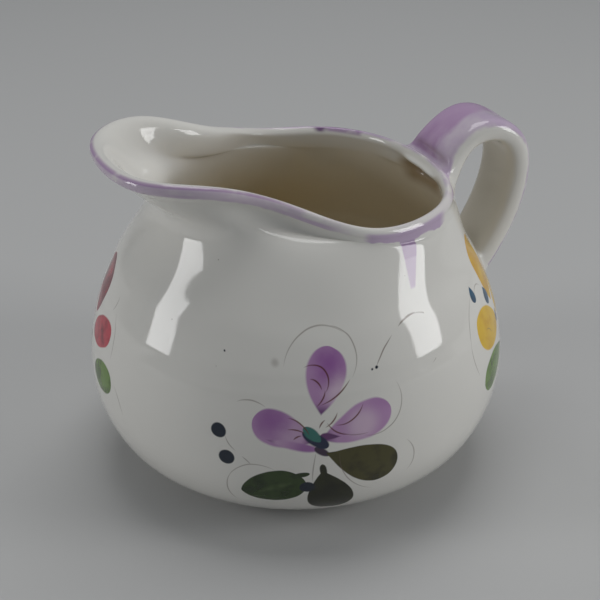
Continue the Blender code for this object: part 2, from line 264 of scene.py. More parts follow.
outer.append(round_ring(body_radius(above_root), above_root,
                        (LOWER_ROOT_WIDTH + UPPER_ROOT_WIDTH) / 2))
outer.append(round_ring(SHOULDER_RADIUS, SHOULDER_HEIGHT, UPPER_ROOT_WIDTH))
upper_root = len(outer)
outer += upper_rings()
rim_outside = upper_root + 3
rim_crest = upper_root + 4

# The inner wall follows the outer one. On the lip's side it is thinner in the throat and thicker
# from the fold down to the shoulder, so that the throat runs softly into the belly. Behind the
# handle it has a dent.
THICKER_BY_ROW = {rim_outside - 1: -0.0004, upper_root + 1: -0.0018, upper_root: 0.0014,
                  upper_root - 1: 0.0042, lower_root + 3: 0.0028}
DENTED_BY_ROW = {rim_outside - 1: -0.1, upper_root + 1: 1.2, upper_root: 0.40,
                 upper_root - 1: 0.1, lower_root + 1: 0.5}
inner = []
floor_height = FOOT_RECESS + FLOOR_THICKNESS
chosen = [rim_outside - 1, upper_root + 1, upper_root, upper_root - 1, lower_root + 3,
          lower_root + 1, lower_root - 1, lower_root - 3, heel + 1]
for row in chosen:
    ring = [p - n * WALL for p, n in zip(outer[row], surface_normals(outer, row))]
    thicker = THICKER_BY_ROW.get(row, 0.0)
    for point in ring:
        fold = smooth_step((-point.x - FOLD_FADE_START) / (FOLD_FADE_END - FOLD_FADE_START))
        point.xy *= 1 - thicker * fold / hypot(point.x, point.y)
    dented = DENTED_BY_ROW.get(row, 0.0)
    for j in range(HALF - 1, HALF + 2):
        ring[j] = ring[j] + Vector((DIMPLE_DEPTH * dented, 0, 0))
    inner.append(ring)
floor_radius = body_radius(belly_rows[0]) - WALL - (inner[-1][0].z - floor_height)
inner.append(round_ring(floor_radius, floor_height, LOWER_ROOT_WIDTH))
inner.append(round_ring(floor_radius * 0.8, floor_height, LOWER_ROOT_WIDTH))


def next_ring(bm, ring, places):
    """Extrude a closed ring of vertices and set the new one in its places."""
    closed = ring + ring[:1]
    edges = [bm.edges.get((a, b)) for a, b in zip(closed, closed[1:])]
    grown = bmesh.ops.extrude_edge_only(bm, edges=edges)["geom"]
    fresh = {v for v in grown if isinstance(v, bmesh.types.BMVert)}
    new = []
    for vertex, place in zip(ring, places):
        twin = next(e.other_vert(vertex) for e in vertex.link_edges
                    if e.other_vert(vertex) in fresh)
        twin.co = place
        new.append(twin)
    return new


bm = bmesh.new()
past_rim = bm.verts.layers.float.new("past_rim")
strap_along = bm.verts.layers.float.new("strap_along")
strap_out = bm.verts.layers.float.new("strap_out")
sharpness = bm.edges.layers.float.new("crease_edge")
start = bmesh.ops.create_circle(bm, segments=COLUMNS, radius=foot_inner, cap_ends=False)
ring = list(start["verts"])
for vertex, place in zip(ring, outer[0]):
    vertex.co = place
bmesh.ops.contextual_create(bm, geom=[e for e in bm.edges])
rows = [ring]
for places in outer[1:] + inner:
    rows.append(next_ring(bm, rows[-1], places))
last = rows[-1] + rows[-1][:1]
bmesh.ops.contextual_create(bm, geom=[bm.edges.get(pair) for pair in zip(last, last[1:])])

# How far each point lies past the rim's crest in millimetres, inside being more than nothing.
# The painted band follows it.
for j in range(COLUMNS):
    for way in (1, -1):
        run, row = 0.0, rim_crest
        while 0 <= row + way < len(rows):
            run += (rows[row + way][j].co - rows[row][j].co).length * 1000
            row += way
            rows[row][j][past_rim] = run * way

# The strap handle. It is pulled as a flat strap with round edges, stuck on under the rim at the
# back and pressed into the belly, and its joints are smoothed into the wall.
STRAP_WIDTH = 0.0290
STRAP_THICKNESS = 0.0096
STRAP_RISE = 0.0140
STRAP_REACH = 0.0380
STRAP_APEX_FROM_RIM = 0.0230
STRAP_OUTER_HEIGHT = 0.1139
UPPER_ROOT_BLEND = 0.0115
LOWER_ROOT_BLEND = 0.0065
STRAP_START_ANGLE = radians(84)
STRAP_END_ANGLE = radians(-124)
STRAP_SECTIONS = 9


def strap_path():
    """Centre line of the strap as close (x, z) points, between its roots on the wall."""
    rim_edge = Vector((MOUTH_BACK + RIM_THICKNESS / 2 * cos(BACK_FLARE), RIM_HEIGHT))
    start = (rim_edge + Vector((NECK_RADIUS, NECK_HEIGHT))) / 2
    apex = Vector((MOUTH_BACK + STRAP_APEX_FROM_RIM, RIM_HEIGHT + STRAP_RISE))
    far = Vector((MOUTH_BACK + STRAP_REACH, STRAP_OUTER_HEIGHT))
    end = Vector((body_radius(LOWER_ROOT_HEIGHT), LOWER_ROOT_HEIGHT))
    climb = apex.y - start.y
    drop = far.y - end.y
    arcs = (
        (start, start + 0.50 * climb * Vector((cos(STRAP_START_ANGLE), sin(STRAP_START_ANGLE))),
         apex - Vector((0.65 * (apex.x - start.x), 0)), apex),
        (apex, apex + Vector((0.70 * (far.x - apex.x), 0)),
         far + Vector((0, 0.51 * (apex.y - far.y))), far),
        (far, far - Vector((0, 0.38 * drop)),
         end - 0.35 * drop * Vector((cos(STRAP_END_ANGLE), sin(STRAP_END_ANGLE))), end),
    )
    points = [start]
    for arc in arcs:
        points += [bezier(*arc, step / 40) for step in range(1, 41)]
    return points


def strap_outline(half_width, half_thickness):
    """The strap's section as (across, out) points: flat faces and round edges."""
    core = half_width - half_thickness
    quarter = [(0.0, half_thickness), (0.55 * half_width, half_thickness)]
    for angle in (55, 18):
        bend = radians(angle)
        quarter.append((core + half_thickness * cos(bend), half_thickness * sin(bend)))
    side = quarter[1:] + [(a, -b) for a, b in quarter[:0:-1]]
    return [quarter[0]] + side + [(0.0, -half_thickness)] + [(-a, b) for a, b in side[::-1]]


def strap_sections():
    """Rings of places along the strap, and how far along it each one is."""
    points = strap_path()
    along = [0.0]
    for a, b in zip(points, points[1:]):
        along.append(along[-1] + (b - a).length)
    run = along[-1] - UPPER_ROOT_BLEND - LOWER_ROOT_BLEND
    sections = []
    for i in range(STRAP_SECTIONS):
        distance = UPPER_ROOT_BLEND + run * i / (STRAP_SECTIONS - 1)
        k = max(n for n in range(len(points) - 1) if along[n] <= distance)
        centre = points[k].lerp(points[k + 1], (distance - along[k]) / (along[k + 1] - along[k]))
        heading = (points[k + 1] - points[k]).normalized()
        out = Vector((-heading.y, 0, heading.x))
        near_start = max(0.0, 1 - distance / (2 * UPPER_ROOT_BLEND)) ** 2
        near_end = max(0.0, 1 - (along[-1] - distance) / (2 * LOWER_ROOT_BLEND)) ** 2
        width = STRAP_WIDTH + (UPPER_ROOT_WIDTH - STRAP_WIDTH) * near_start
        width += (LOWER_ROOT_WIDTH - STRAP_WIDTH) * near_end
        middle = Vector((centre.x, 0, centre.y))
        outline = strap_outline(width / 2, STRAP_THICKNESS / 2)
        sections.append((distance, [middle + Vector((0, a, 0)) + out * b for a, b in outline]))
    return sections


def root_loop(patch):
    """Edge of a root's patch of the wall, in the order of a strap section."""
    left, right = HALF - ROOT_COLUMNS, HALF + ROOT_COLUMNS
    loop = [patch[0][j] for j in range(HALF, left - 1, -1)]
    loop += [row[left] for row in patch[1:-1]]
    loop += [patch[-1][j] for j in range(left, right + 1)]
    loop += [row[right] for row in patch[-2:0:-1]]
    loop += [patch[0][j] for j in range(right, HALF, -1)]
    return loop


def open_patch(bm, patch):
    """Take the wall's faces out of a root's patch, so the strap can grow from its edge."""
    within = {v for row in patch for v in row[HALF - ROOT_COLUMNS:HALF + ROOT_COLUMNS + 1]}
    faces = [f for f in bm.faces if all(v in within for v in f.verts)]
    bmesh.ops.delete(bm, geom=faces, context="FACES")


top_patch = rows[upper_root:rim_outside + 1][::-1]
low_patch = rows[lower_root:lower_root + 4]
open_patch(bm, top_patch)
open_patch(bm, low_patch)
first, end = root_loop(top_patch), root_loop(low_patch)
sections = strap_sections()
blend_in = [v.co.lerp(p, 0.50) for v, p in zip(first, sections[0][1])]
blend_out = [v.co.lerp(p, 0.45) for v, p in zip(end, sections[-1][1])]
outs = [b / STRAP_THICKNESS * 2 for a, b in strap_outline(STRAP_WIDTH / 2, STRAP_THICKNESS / 2)]
strap = [first]
stages = [(sections[0][0] / 2, blend_in)] + sections
stages += [(sections[-1][0] + LOWER_ROOT_BLEND / 2, blend_out)]
for distance, places in stages:
    strap.append(next_ring(bm, strap[-1], places))
    for vertex, out in zip(strap[-1], outs):
        vertex[strap_along] = distance * 1000
        vertex[strap_out] = out
closing = next_ring(bm, strap[-1], [v.co.copy() for v in end])
bmesh.ops.weld_verts(bm, targetmap=dict(zip(closing, end)))

# The foot ring and its bevel keep crisp edges. Then the whole cage is moved so that the rounded
# surface passes through the places laid out above.
creased = set()
for row in rows[1:5]:
    for a, b in zip(row, row[1:] + row[:1]):
        edge = bm.edges.get((a, b))
        edge[sharpness] = 1.0
        creased.add(edge)
bmesh.ops.recalc_face_normals(bm, faces=bm.faces)


def settle(bm, creased, free):
    """Move the cage so that the rounded surface passes through the places given to it.

    The free vertices stay where they are, so that the strap's roots run softly into the wall.
    """
    targets = {v: v.co.copy() for v in bm.verts}
    rules = []
    for v in bm.verts:
        sharp = [e for e in v.link_edges if e in creased]
        if v in free:
            continue
        if sharp:
            rules.append((v, [e.other_vert(v) for e in sharp], None))
        elif all(len(f.verts) == 4 for f in v.link_faces):
            near = [e.other_vert(v) for e in v.link_edges]
            far = [w for f in v.link_faces for w in f.verts if w is not v and w not in near]
            rules.append((v, near, far))
    for _ in range(24):
        moves = []
        for v, near, far in rules:
            if far is None:
                smooth = (v.co * 4 + near[0].co + near[1].co) / 6
            else:
                n = len(near)
                smooth = v.co * n * n + 4 * sum((w.co for w in near), Vector())
                smooth = (smooth + sum((w.co for w in far), Vector())) / (n * (n + 5))
            moves.append((v, targets[v] - smooth))
        for v, move in moves:
            v.co += move


settle(bm, creased, set(first + strap[1] + strap[-1] + end))
shape = bpy.data.meshes.new("glazed_pitcher")
bm.to_mesh(shape)
bm.free()
shape.shade_smooth()
pitcher = bpy.data.objects.new("glazed_pitcher", shape)
bpy.context.collection.objects.link(pitcher)
rounding = pitcher.modifiers.new("rounding", "SUBSURF")
rounding.levels = 3
rounding.render_levels = 3
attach(pitcher, "root")
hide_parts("pitcher")


# The glaze and the painting. A thick, clear, very glossy cream glaze runs over everything.
# Under it the rim and the top of the handle are brushed with lavender, and five sprays of
# flowers stand round the belly, in teardrop strokes with thin brown tendrils.
class Shade:
    """A value in the shader. Arithmetic on it adds Math nodes."""

    def __init__(self, tree, socket=None):
        self.tree = tree
        self.socket = socket

    def node(self, kind, settings=(), sockets=(), out=0):
        """Add a node, with its settings first, then its sockets' values or links."""
        made = self.tree.nodes.new("ShaderNode" + kind)
        for name, value in dict(settings).items():
            setattr(made, name, value)
        for key, value in dict(sockets).items():
            if isinstance(value, Shade):
                self.tree.links.new(value.socket, made.inputs[key])
            else:
                made.inputs[key].default_value = value
        return Shade(self.tree, made.outputs[out])

    def math(self, operation, *values):
        return self.node("Math", {"operation": operation}, enumerate((self,) + values))

    def __add__(self, other):
        return self.math("ADD", other)

    __radd__ = __add__

    def __sub__(self, other):
        return self.math("SUBTRACT", other)

    def __rsub__(self, other):
        return self.node("Math", {"operation": "SUBTRACT"}, {0: other, 1: self})

    def __mul__(self, other):
        return self.math("MULTIPLY", other)

    __rmul__ = __mul__

    def __truediv__(self, other):
        return self.math("DIVIDE", other)

    def __pow__(self, other):
        return self.math("POWER", other)

    def __abs__(self):
        return self.math("ABSOLUTE")

    def __or__(self, other):
        """The stronger of two masks."""
        return self.math("MAXIMUM", other)

    def clamped(self):
        return self.node("Math", {"operation": "ADD", "use_clamp": True}, {0: self, 1: 0.0})

    def ramp(self, low, high):
        """Nothing at low, one at high, and a smooth change between."""
        return self.node("MapRange", {"interpolation_type": "SMOOTHSTEP"},
                         {0: self, 1: low, 2: high, 3: 0.0, 4: 1.0})

    def between(self, first, second):
        """The first colour where this mask is nothing, and the second where it is one."""
        return self.node("Mix", {"data_type": "RGBA"}, {0: self, 6: first, 7: second}, out=2)

    def under(self, colour, mask):
        """This colour, with another painted over it where the mask is."""
        return mask.between(self, colour)


glaze = bpy.data.materials.new("cream_glaze_painted")
glaze.use_nodes = True
tree = glaze.node_tree
surface = tree.nodes["Principled BSDF"]
shade = Shade(tree)
in_metres = shade.node("TexCoord", out=3)
in_mm = shade.node("VectorMath", {"operation": "SCALE"}, {0: in_metres, 3: 1000.0})
x, y, z = [shade.node("SeparateXYZ", (), {0: in_mm}, out=axis) for axis in range(3)]
rim_run = shade.node("Attribute", {"attribute_name": "past_rim"}, out=2)
strap_run = shade.node("Attribute", {"attribute_name": "strap_along"}, out=2)
strap_side = shade.node("Attribute", {"attribute_name": "strap_out"}, out=2)


def grain(scale, detail=2.0, where=in_mm):
    """Soft noise whose grains are about 1 / scale millimetres wide."""
    return shade.node("TexNoise", (), {"Vector": where, "Scale": scale, "Detail": detail})


# Cream outside. Inside, the glaze is browner and darker towards the floor and less so towards
# the handle's side, partly its own tone and partly painted shade of the deep inside. In the dent
# behind the handle a dark brown painted shade is laid on, and on the strap's inner face a little
# browner painted shade with a warm painted reflection. A few iron specks show through, as in any
# earthenware.
CREAM = (0.770, 0.755, 0.710, 1)
POOLED_AND_SHADED = (0.71, 0.61, 0.42, 1)
DENT_PAINTED_SHADE = (0.38, 0.27, 0.15, 1)
STRAP_INNER_PAINTED_SHADE = (0.68, 0.63, 0.53, 1)
IRON = (0.16, 0.12, 0.09, 1)
cloud = grain(0.045)
POOL_AND_SHADE_TOP = 134
POOL_AND_SHADE_FULL = 84
SPECK_CELLS_PER_MM = 0.11
# Browner and darker towards the floor and less towards the handle: partly the glaze's own tone,
# partly painted shade.
pooled_and_shaded = (z - x * 0.2 + 16 * cloud).ramp(POOL_AND_SHADE_TOP, POOL_AND_SHADE_FULL) * rim_run.ramp(3, 14)
pooled_and_shaded = pooled_and_shaded * (1 - 0.45 * x.ramp(15, 60))
colour = pooled_and_shaded.between(CREAM, POOLED_AND_SHADED)
# A dark brown painted shade in the dent behind the handle.
dent_shade = z.ramp(101, 107) * z.ramp(116, 112) * x.ramp(50, 54) * abs(y - 6).ramp(15, 7)
colour = colour.under(DENT_PAINTED_SHADE, dent_shade * rim_run.ramp(2, 4) * 0.8)
# A browner painted shade with a warm painted reflection on the strap's inner face.
inner_face_shade = strap_side.ramp(-0.45, -0.95) * strap_run.ramp(2, 7)
colour = colour.under(STRAP_INNER_PAINTED_SHADE, inner_face_shade * 0.9)
cells = {"Vector": in_mm, "Scale": SPECK_CELLS_PER_MM}
to_speck = shade.node("TexVoronoi", {"feature": "F1"}, cells)
cell_colour = shade.node("TexVoronoi", {"feature": "F1"}, cells, out=1)
has_speck = shade.node("SeparateXYZ", (), {0: cell_colour}).math("GREATER_THAN", 0.86)
colour = colour.under(IRON, to_speck.ramp(0.034, 0.018) * has_speck * 0.6)

# Places on the belly in millimetres: how far aside of the nearest spray's middle, and how far up
# the wall, which is taken as an arc from foot to neck
SPRAY_STEP = radians(72)
FIRST_SPRAY = radians(-108)
ARC_RADIUS = 48
ARC_HEIGHT = 47
ARC_FROM_AXIS = 38
turned = y.math("ARCTAN2", x)
radius = (x * x + y * y).math("SQRT")
climb = ARC_RADIUS * (z - ARC_HEIGHT).math("ARCTAN2", radius - ARC_FROM_AXIS)
climb = climb + (grain(0.11, 1.0) - 0.5)
past_first = turned - FIRST_SPRAY
from_spray = shade.node("Math", {"operation": "WRAP"},
                        {0: past_first, 1: SPRAY_STEP / 2, 2: -SPRAY_STEP / 2})
aside = radius * from_spray + (cloud - 0.5) * 0.8
outside = rim_run.ramp(-6, -9)
in_back = abs(turned).math("GREATER_THAN", pi - SPRAY_STEP / 2)
in_right = abs(past_first - SPRAY_STEP).math("LESS_THAN", SPRAY_STEP / 2)
in_plain = (1 - in_back - in_right) * outside
in_rose = abs(past_first - 2 * SPRAY_STEP).math("LESS_THAN", SPRAY_STEP / 2)


def across(a, b, c):
    """a times aside plus b times climb plus c."""
    return aside.math("MULTIPLY_ADD", a, climb.math("MULTIPLY_ADD", b, c))


def brush(start, end, width, near, far, soft=0.35):
    """Mask of one brush stroke from start to end, and how far along it a place is.

    near and far say how slowly the stroke swells from its start and closes at its end.
    """
    along = Vector(end) - Vector(start)
    length = along.length
    along /= length
    u = across(along.x / length, along.y / length, -along.dot(Vector(start)) / length)
    v = across(-along.y, along.x, along.y * start[0] - along.x * start[1])
    widest = near / (near + far)
    full = width / 2 / (widest ** near * (1 - widest) ** far)
    held = u.clamped()
    half = held ** near * (1 - held) ** far * full
    return ((half - abs(v)) * (1 / soft)).clamped(), u


def from_place(spot):
    """Distance in millimetres from one place of the spray."""
    right, up = across(1, 0, -spot[0]), across(0, 1, -spot[1])
    return (right * right + up * up).math("SQRT")


def tendril(first, middle, last, width=0.36, soft=0.40):
    """Mask of a thin curved line through three places, drawn out to nothing at its ends."""
    (ax, ay), (bx, by), (cx, cy) = first, middle, last
    d = 2 * (ax * (by - cy) + bx * (cy - ay) + cx * (ay - by))
    aa, bb, cc = ax * ax + ay * ay, bx * bx + by * by, cx * cx + cy * cy
    ox = (aa * (by - cy) + bb * (cy - ay) + cc * (ay - by)) / d
    oy = (aa * (cx - bx) + bb * (ax - cx) + cc * (bx - ax)) / d
    bend = hypot(ax - ox, ay - oy)
    middle_turn = atan2(by - oy, bx - ox)
    reach = [abs((atan2(q - oy, p - ox) - middle_turn + pi) % (2 * pi) - pi)
             for p, q in (first, last)]
    right, up = aside - ox, climb - oy
    away = abs((right * right + up * up).math("SQRT") - bend)
    turn_from = up.math("ARCTAN2", right) - middle_turn
    turn_from = shade.node("Math", {"operation": "WRAP"}, {0: turn_from, 1: pi, 2: -pi})
    share = turn_from * (1 / max(reach))
    half = (1 - share * share).clamped() ** 0.5 * width
    return ((half - away) * (1 / soft)).clamped() * half.math("GREATER_THAN", 0.02)


def together(curves, width=0.36):
    """One mask of several tendrils."""
    mask = tendril(*curves[0], width)
    for curve in curves[1:]:
        mask = mask | tendril(*curve, width)
    return mask


# The lilac spray in front: three teardrop petals, each darker in one place and at its tip, and
# paler in another. The same spray stands twice on the side that the photograph doesn't show,
# once in rose.
LILAC = (0.470, 0.275, 0.490, 1)
LILAC_PALE = (0.660, 0.510, 0.630, 1)
LILAC_DARK = (0.310, 0.125, 0.360, 1)
LILAC_TIP = (0.130, 0.040, 0.165, 1)
ROSE = (0.440, 0.120, 0.150, 1)
ROSE_PALE = (0.620, 0.360, 0.360, 1)
ROSE_DARK = (0.210, 0.050, 0.075, 1)
ROSE_TIP = (0.130, 0.030, 0.045, 1)
petal_mid = in_rose.between(LILAC, ROSE)
petal_pale = in_rose.between(LILAC_PALE, ROSE_PALE)
petal_dark = in_rose.between(LILAC_DARK, ROSE_DARK)
petal_tip = in_rose.between(LILAC_TIP, ROSE_TIP)
bristles = grain(0.16)
# Start, end, width, near and far, then the dark place with its spread and strength, and the pale
# place with its strength
petals = (
    ((1.7, 14.6), (5.6, 38.8), 15.8, 0.95, 0.50, (5.4, 33.0), 9.0, 1.0, (9.5, 23.0), 0.9),
    ((-0.5, 4.0), (-23.4, 13.2), 15.6, 0.95, 0.50, (-16.5, 13.0), 10.0, 0.9, (-9.0, 7.5), 0.35),
    ((1.2, 4.6), (28.6, 14.6), 16.0, 0.95, 0.50, (25.5, 17.5), 6.0, 0.35, (17.5, 9.5), 0.8),
    ((-19.0, 5.2), (1.6, 0.4), 4.4, 0.90, 0.60, (-3.0, 1.4), 8.0, 0.8, (-17.0, 4.0), 0.3),
)
for start, end, width, near, far, darker, spread, darkness, paler, paleness in petals:
    mask, share = brush(start, end, width, near, far, soft=0.9)
    tone = petal_mid.under(petal_pale, from_place(paler).ramp(9, 2) * paleness)
    to_dark = from_place(darker) + 6 * bristles
    tone = tone.under(petal_dark, to_dark.ramp(spread + 4, 3) * darkness)
    tone = tone.under(petal_tip, share.ramp(0.22, 0.05) * 0.85)
    colour = colour.under(tone, mask * in_plain)

# The heart of the flower in teal and navy, and the dark ends of the petals that meet there
TEAL = (0.040, 0.175, 0.150, 1)
NAVY = (0.014, 0.022, 0.060, 1)
STUB = (0.050, 0.028, 0.060, 1)
PLUM = (0.130, 0.045, 0.150, 1)
heart_strokes = (
    ((1.2, 6.4), (9.4, 5.8), 3.4, 0.4, 1.1, PLUM),
    ((-0.8, 1.6), (4.8, -2.2), 3.6, 0.4, 0.5, STUB),
    ((-5.2, 8.4), (4.2, 1.6), 5.6, 0.5, 0.4, NAVY),
    ((-4.7, 10.6), (1.4, 3.9), 4.9, 0.5, 0.6, TEAL),
)
for start, end, width, near, far, tone in heart_strokes:
    mask, _ = brush(start, end, width, near, far, soft=0.6)
    colour = colour.under(tone, mask * in_plain)

# Leaves under it, two like pears and one pointed, brushed on thickly, with short stalks
OLIVE = (0.064, 0.058, 0.013, 1)
OLIVE_THICK = (0.034, 0.031, 0.008, 1)
MOSS = (0.024, 0.026, 0.008, 1)
MOSS_THICK = (0.012, 0.013, 0.005, 1)
GREEN = (0.034, 0.064, 0.014, 1)
GREEN_THICK = (0.018, 0.034, 0.009, 1)
GREEN_THIN = (0.070, 0.110, 0.035, 1)
leaves = (
    ((2.9, -0.6), (31.2, -13.2), 18.6, 1.15, 0.50, 0.35, OLIVE, OLIVE_THICK),
    ((2.3, -9.2), (8.0, -35.8), 18.2, 0.95, 0.55, 0.35, MOSS, MOSS_THICK),
    ((2.1, -5.9), (3.3, -13.5), 3.0, 0.40, 0.60, 0.35, MOSS, MOSS_THICK),
    ((-4.0, -15.0), (-28.4, -21.8), 18.4, 0.50, 0.64, 0.35, GREEN, GREEN_THICK),
    ((-9.5, -11.6), (-2.5, -10.4), 2.8, 0.50, 0.40, 0.35, GREEN, GREEN_THICK),
    ((-9.0, -15.0), (-22.0, -21.5), 4.5, 0.60, 0.60, 1.80, GREEN_THIN, GREEN),
)
for start, end, width, near, far, soft, tone, thick in leaves:
    mask, _ = brush(start, end, width, near, far, soft)
    brushed = bristles.ramp(0.38, 0.68).between(tone, thick)
    colour = colour.under(brushed, mask * in_plain)

# Round berries in a blue that is nearly black, a few drops of the same brush, and a faint smudge
INK = (0.010, 0.018, 0.034, 1)
INK_EDGE = 0.25
SMUDGE = (-14.4, 34.0)
for berry, size in (((-36.8, 6.7), 6.0), ((-33.9, -4.6), 6.3), ((-3.4, -17.8), 5.9),
                    ((23.4, 29.7), 1.2), ((21.6, 29.3), 0.8), ((-33.2, 36.3), 0.7)):
    inked = from_place(berry).ramp(size / 2 + INK_EDGE, size / 2 - INK_EDGE)
    colour = colour.under(INK, inked * in_plain)
colour = colour.under(IRON, from_place(SMUDGE).ramp(2.2, 0.3) * in_plain * 0.32)

# Veins in dark red brown on the petals, and grey-brown tendrils all round
VEIN = (0.120, 0.030, 0.022, 1)
TENDRIL = (0.150, 0.100, 0.075, 1)
veins = together((
    ((-2.0, 33.0), (3.6, 31.0), (3.4, 23.2)),
    ((-1.9, 28.4), (0.9, 27.2), (2.4, 24.5)),
    ((3.6, 24.5), (2.6, 21.0), (0.5, 18.4)),
    ((13.0, 27.2), (8.0, 21.9), (1.6, 18.6)),
    ((-10.6, 14.2), (-5.6, 11.6), (-2.7, 7.0)),
    ((-9.9, 9.5), (-7.2, 9.3), (-4.0, 7.6)),
    ((-8.3, 5.6), (-7.2, 6.5), (-5.4, 6.9)),
    ((17.6, 17.6), (13.6, 12.2), (6.8, 10.6)),
    ((5.0, 10.0), (7.2, 7.9), (12.0, 6.4)),
    ((1.0, 9.6), (1.8, 11.6), (3.3, 13.1)),
    ((3.8, 10.2), (6.1, 12.2), (7.8, 15.6)),
), 0.46)
colour = colour.under(VEIN, veins * in_plain)
tendrils = together((
    ((-11.4, 32.4), (-2.6, 43.8), (7.6, 44.2)),
    ((5.0, 44.8), (14.6, 38.9), (13.6, 27.4)),
    ((32.0, 22.0), (31.0, 9.0), (17.0, 5.0)),
    ((20.0, 5.6), (14.5, 5.6), (10.3, 7.0)),
    ((36.5, 42.6), (47.5, 41.2), (53.4, 33.0)),
    ((53.9, 34.5), (53.2, 29.5), (48.4, 25.0)),
    ((-29.2, 19.0), (-23.6, 20.3), (-18.3, 17.8)),
    ((-0.4, -1.2), (-1.2, -7.5), (-1.4, -15.2)),
    ((-34.3, 5.2), (-32.8, 1.6), (-30.5, -1.0)),
    ((-27.7, -3.5), (-26.1, -5.0), (-24.4, -6.9)),
    ((-15.2, -8.9), (-26.5, -7.2), (-33.2, -14.5)),
    ((-32.6, -13.0), (-33.9, -21.0), (-29.7, -29.7)),
    ((35.6, -1.3), (39.5, -9.6), (36.5, -18.4)),
    ((8.8, -6.0), (12.0, -14.5), (22.5, -23.8)),
))
colour = colour.under(TENDRIL, tendrils * in_plain * 0.72)
flicks = tendril((23.2, 29.6), (26.2, 34.7), (29.9, 38.6), 0.42)
flicks = flicks | tendril((33.0, 40.6), (37.0, 42.7), (41.0, 43.4), 0.55)
colour = colour.under(TENDRIL, flicks * in_plain * 0.85)

# The rose spray under the lip, and the yellow one beside the handle
CRIMSON = (0.160, 0.018, 0.032, 1)
CORAL = (0.520, 0.060, 0.085, 1)
SPRING_GREEN = (0.155, 0.265, 0.060, 1)
AMBER = (0.640, 0.360, 0.025, 1)
YELLOW = (0.760, 0.490, 0.035, 1)
BLUE = (0.040, 0.110, 0.190, 1)
DARK_GREEN = (0.060, 0.100, 0.040, 1)
side_strokes = (
    (in_back, (-19.5, 21.5), (-21.0, 44.6), 18.5, 0.85, 0.50, CRIMSON, CORAL),
    (in_back, (-17.5, 16.0), (5.8, 24.2), 13.2, 0.55, 0.42, CORAL, CRIMSON),
    (in_back, (-24.0, 17.0), (-42.0, 28.0), 13.0, 1.00, 0.50, CORAL, CRIMSON),
    (in_back, (-8.2, 2.8), (12.2, 5.6), 14.0, 0.50, 0.42, SPRING_GREEN, GREEN),
    (in_back, (-20.0, 12.0), (-36.0, 0.0), 13.0, 1.00, 0.50, DARK_GREEN, GREEN),
    (in_right, (5.5, 19.5), (26.0, 36.0), 16.5, 1.00, 0.50, YELLOW, AMBER),
    (in_right, (3.4, 26.6), (7.4, 50.2), 16.6, 0.75, 0.45, AMBER, YELLOW),
    (in_right, (3.6, 18.0), (-22.2, 24.5), 17.6, 0.60, 0.42, YELLOW, AMBER),
    (in_right, (5.0, 7.5), (-22.8, 1.4), 15.2, 0.90, 0.50, SPRING_GREEN, GREEN),
    (in_right, (10.0, 3.0), (30.0, -6.0), 14.0, 1.00, 0.50, DARK_GREEN, GREEN),
    (in_right, (-14.7, 40.8), (-15.4, 34.2), 4.8, 1.00, 0.50, BLUE, NAVY),
    (in_right, (-2.8, 35.4), (-1.6, 27.8), 6.2, 0.90, 0.60, BLUE, NAVY),
    (in_right, (4.2, 23.2), (4.6, 16.8), 3.4, 1.00, 0.50, NAVY, BLUE),
)
for side, start, end, width, near, far, tone, thick in side_strokes:
    mask, _ = brush(start, end, width, near, far, soft=0.6)
    brushed = bristles.ramp(0.40, 0.80).between(tone, thick)
    colour = colour.under(brushed, mask * side * outside)
side_lines = together((
    ((-17.5, 37.5), (-25.4, 30.7), (-29.8, 21.0)),
    ((-29.7, 22.5), (-29.8, 15.5), (-27.2, 8.2)),
    ((-13.0, 37.0), (-9.5, 38.6), (-5.0, 36.5)),
    ((-14.0, 22.0), (-10.5, 21.0), (-8.0, 18.0)),
)) * in_right
side_lines = side_lines | together((
    ((2.6, 38.2), (2.4, 35.0), (1.0, 32.2)),
    ((5.0, 32.0), (9.2, 24.0), (9.0, 14.6)),
    ((14.6, 6.4), (18.6, 1.2), (20.8, -4.2)),
)) * in_back
colour = colour.under(TENDRIL, side_lines * outside * 0.6)

# Lavender brushed round the rim: pale on the bead and on the far crest, and mostly kept off on
# and under the bead at the near front as a painted highlight, a stronger line inside the lip, a
# wash and a drip that ran down at one side, and another wash with a dark blot on the far side.
# Angles are in degrees about the pitcher's axis, from the handle.
LAVENDER = (0.500, 0.375, 0.545, 1)
VIOLET = (0.290, 0.150, 0.340, 1)
DRIP_ANGLE = -69.8
DRIP_TOP = 113
DRIP_BOTTOM = 98
FAR_WASH_ANGLE = 46
BLOT_ANGLE = 56
wisp = grain(0.075, 3.0)
degrees_round = turned * (180 / pi)
# Near front of the bead, where the lavender is mostly kept off: a painted highlight.
painted_highlight_front = degrees_round.ramp(-104, -90) * degrees_round.ramp(-30, -44)
bead = rim_run.ramp(-4.4, -3.2) * rim_run.ramp(1.6, 0.2)
bead_strength = (1 - 0.75 * painted_highlight_front) * (0.62 + 0.08 * x.ramp(-40, -65))
colour = colour.under(LAVENDER, bead * wisp.ramp(0.30, 0.58) * bead_strength)
under_bead = rim_run.ramp(-4.9, -4.0) * rim_run.ramp(-1.6, -2.8)
colour = colour.under(LAVENDER, under_bead * wisp.ramp(0.62, 0.42) * (1 - painted_highlight_front) * 0.8)
lip_line = rim_run.ramp(-0.5, 0.3) * rim_run.ramp(2.4, 1.0) * x.ramp(-14, -30)
colour = colour.under(VIOLET, lip_line * wisp.ramp(0.30, 0.50) * 0.6)
below_bead = rim_run.ramp(-1.6, -3.0)
uneven_run = rim_run + (wisp - 0.5) * 5
wash = degrees_round.ramp(-88, -84) * degrees_round.ramp(-47, -53)
wash = wash * uneven_run.ramp(-6.6, -6.0) * below_bead
drip_half = 1.25 + (z - DRIP_BOTTOM) * 0.16
from_drip = abs(degrees_round - DRIP_ANGLE + (DRIP_TOP - z) * 0.22)
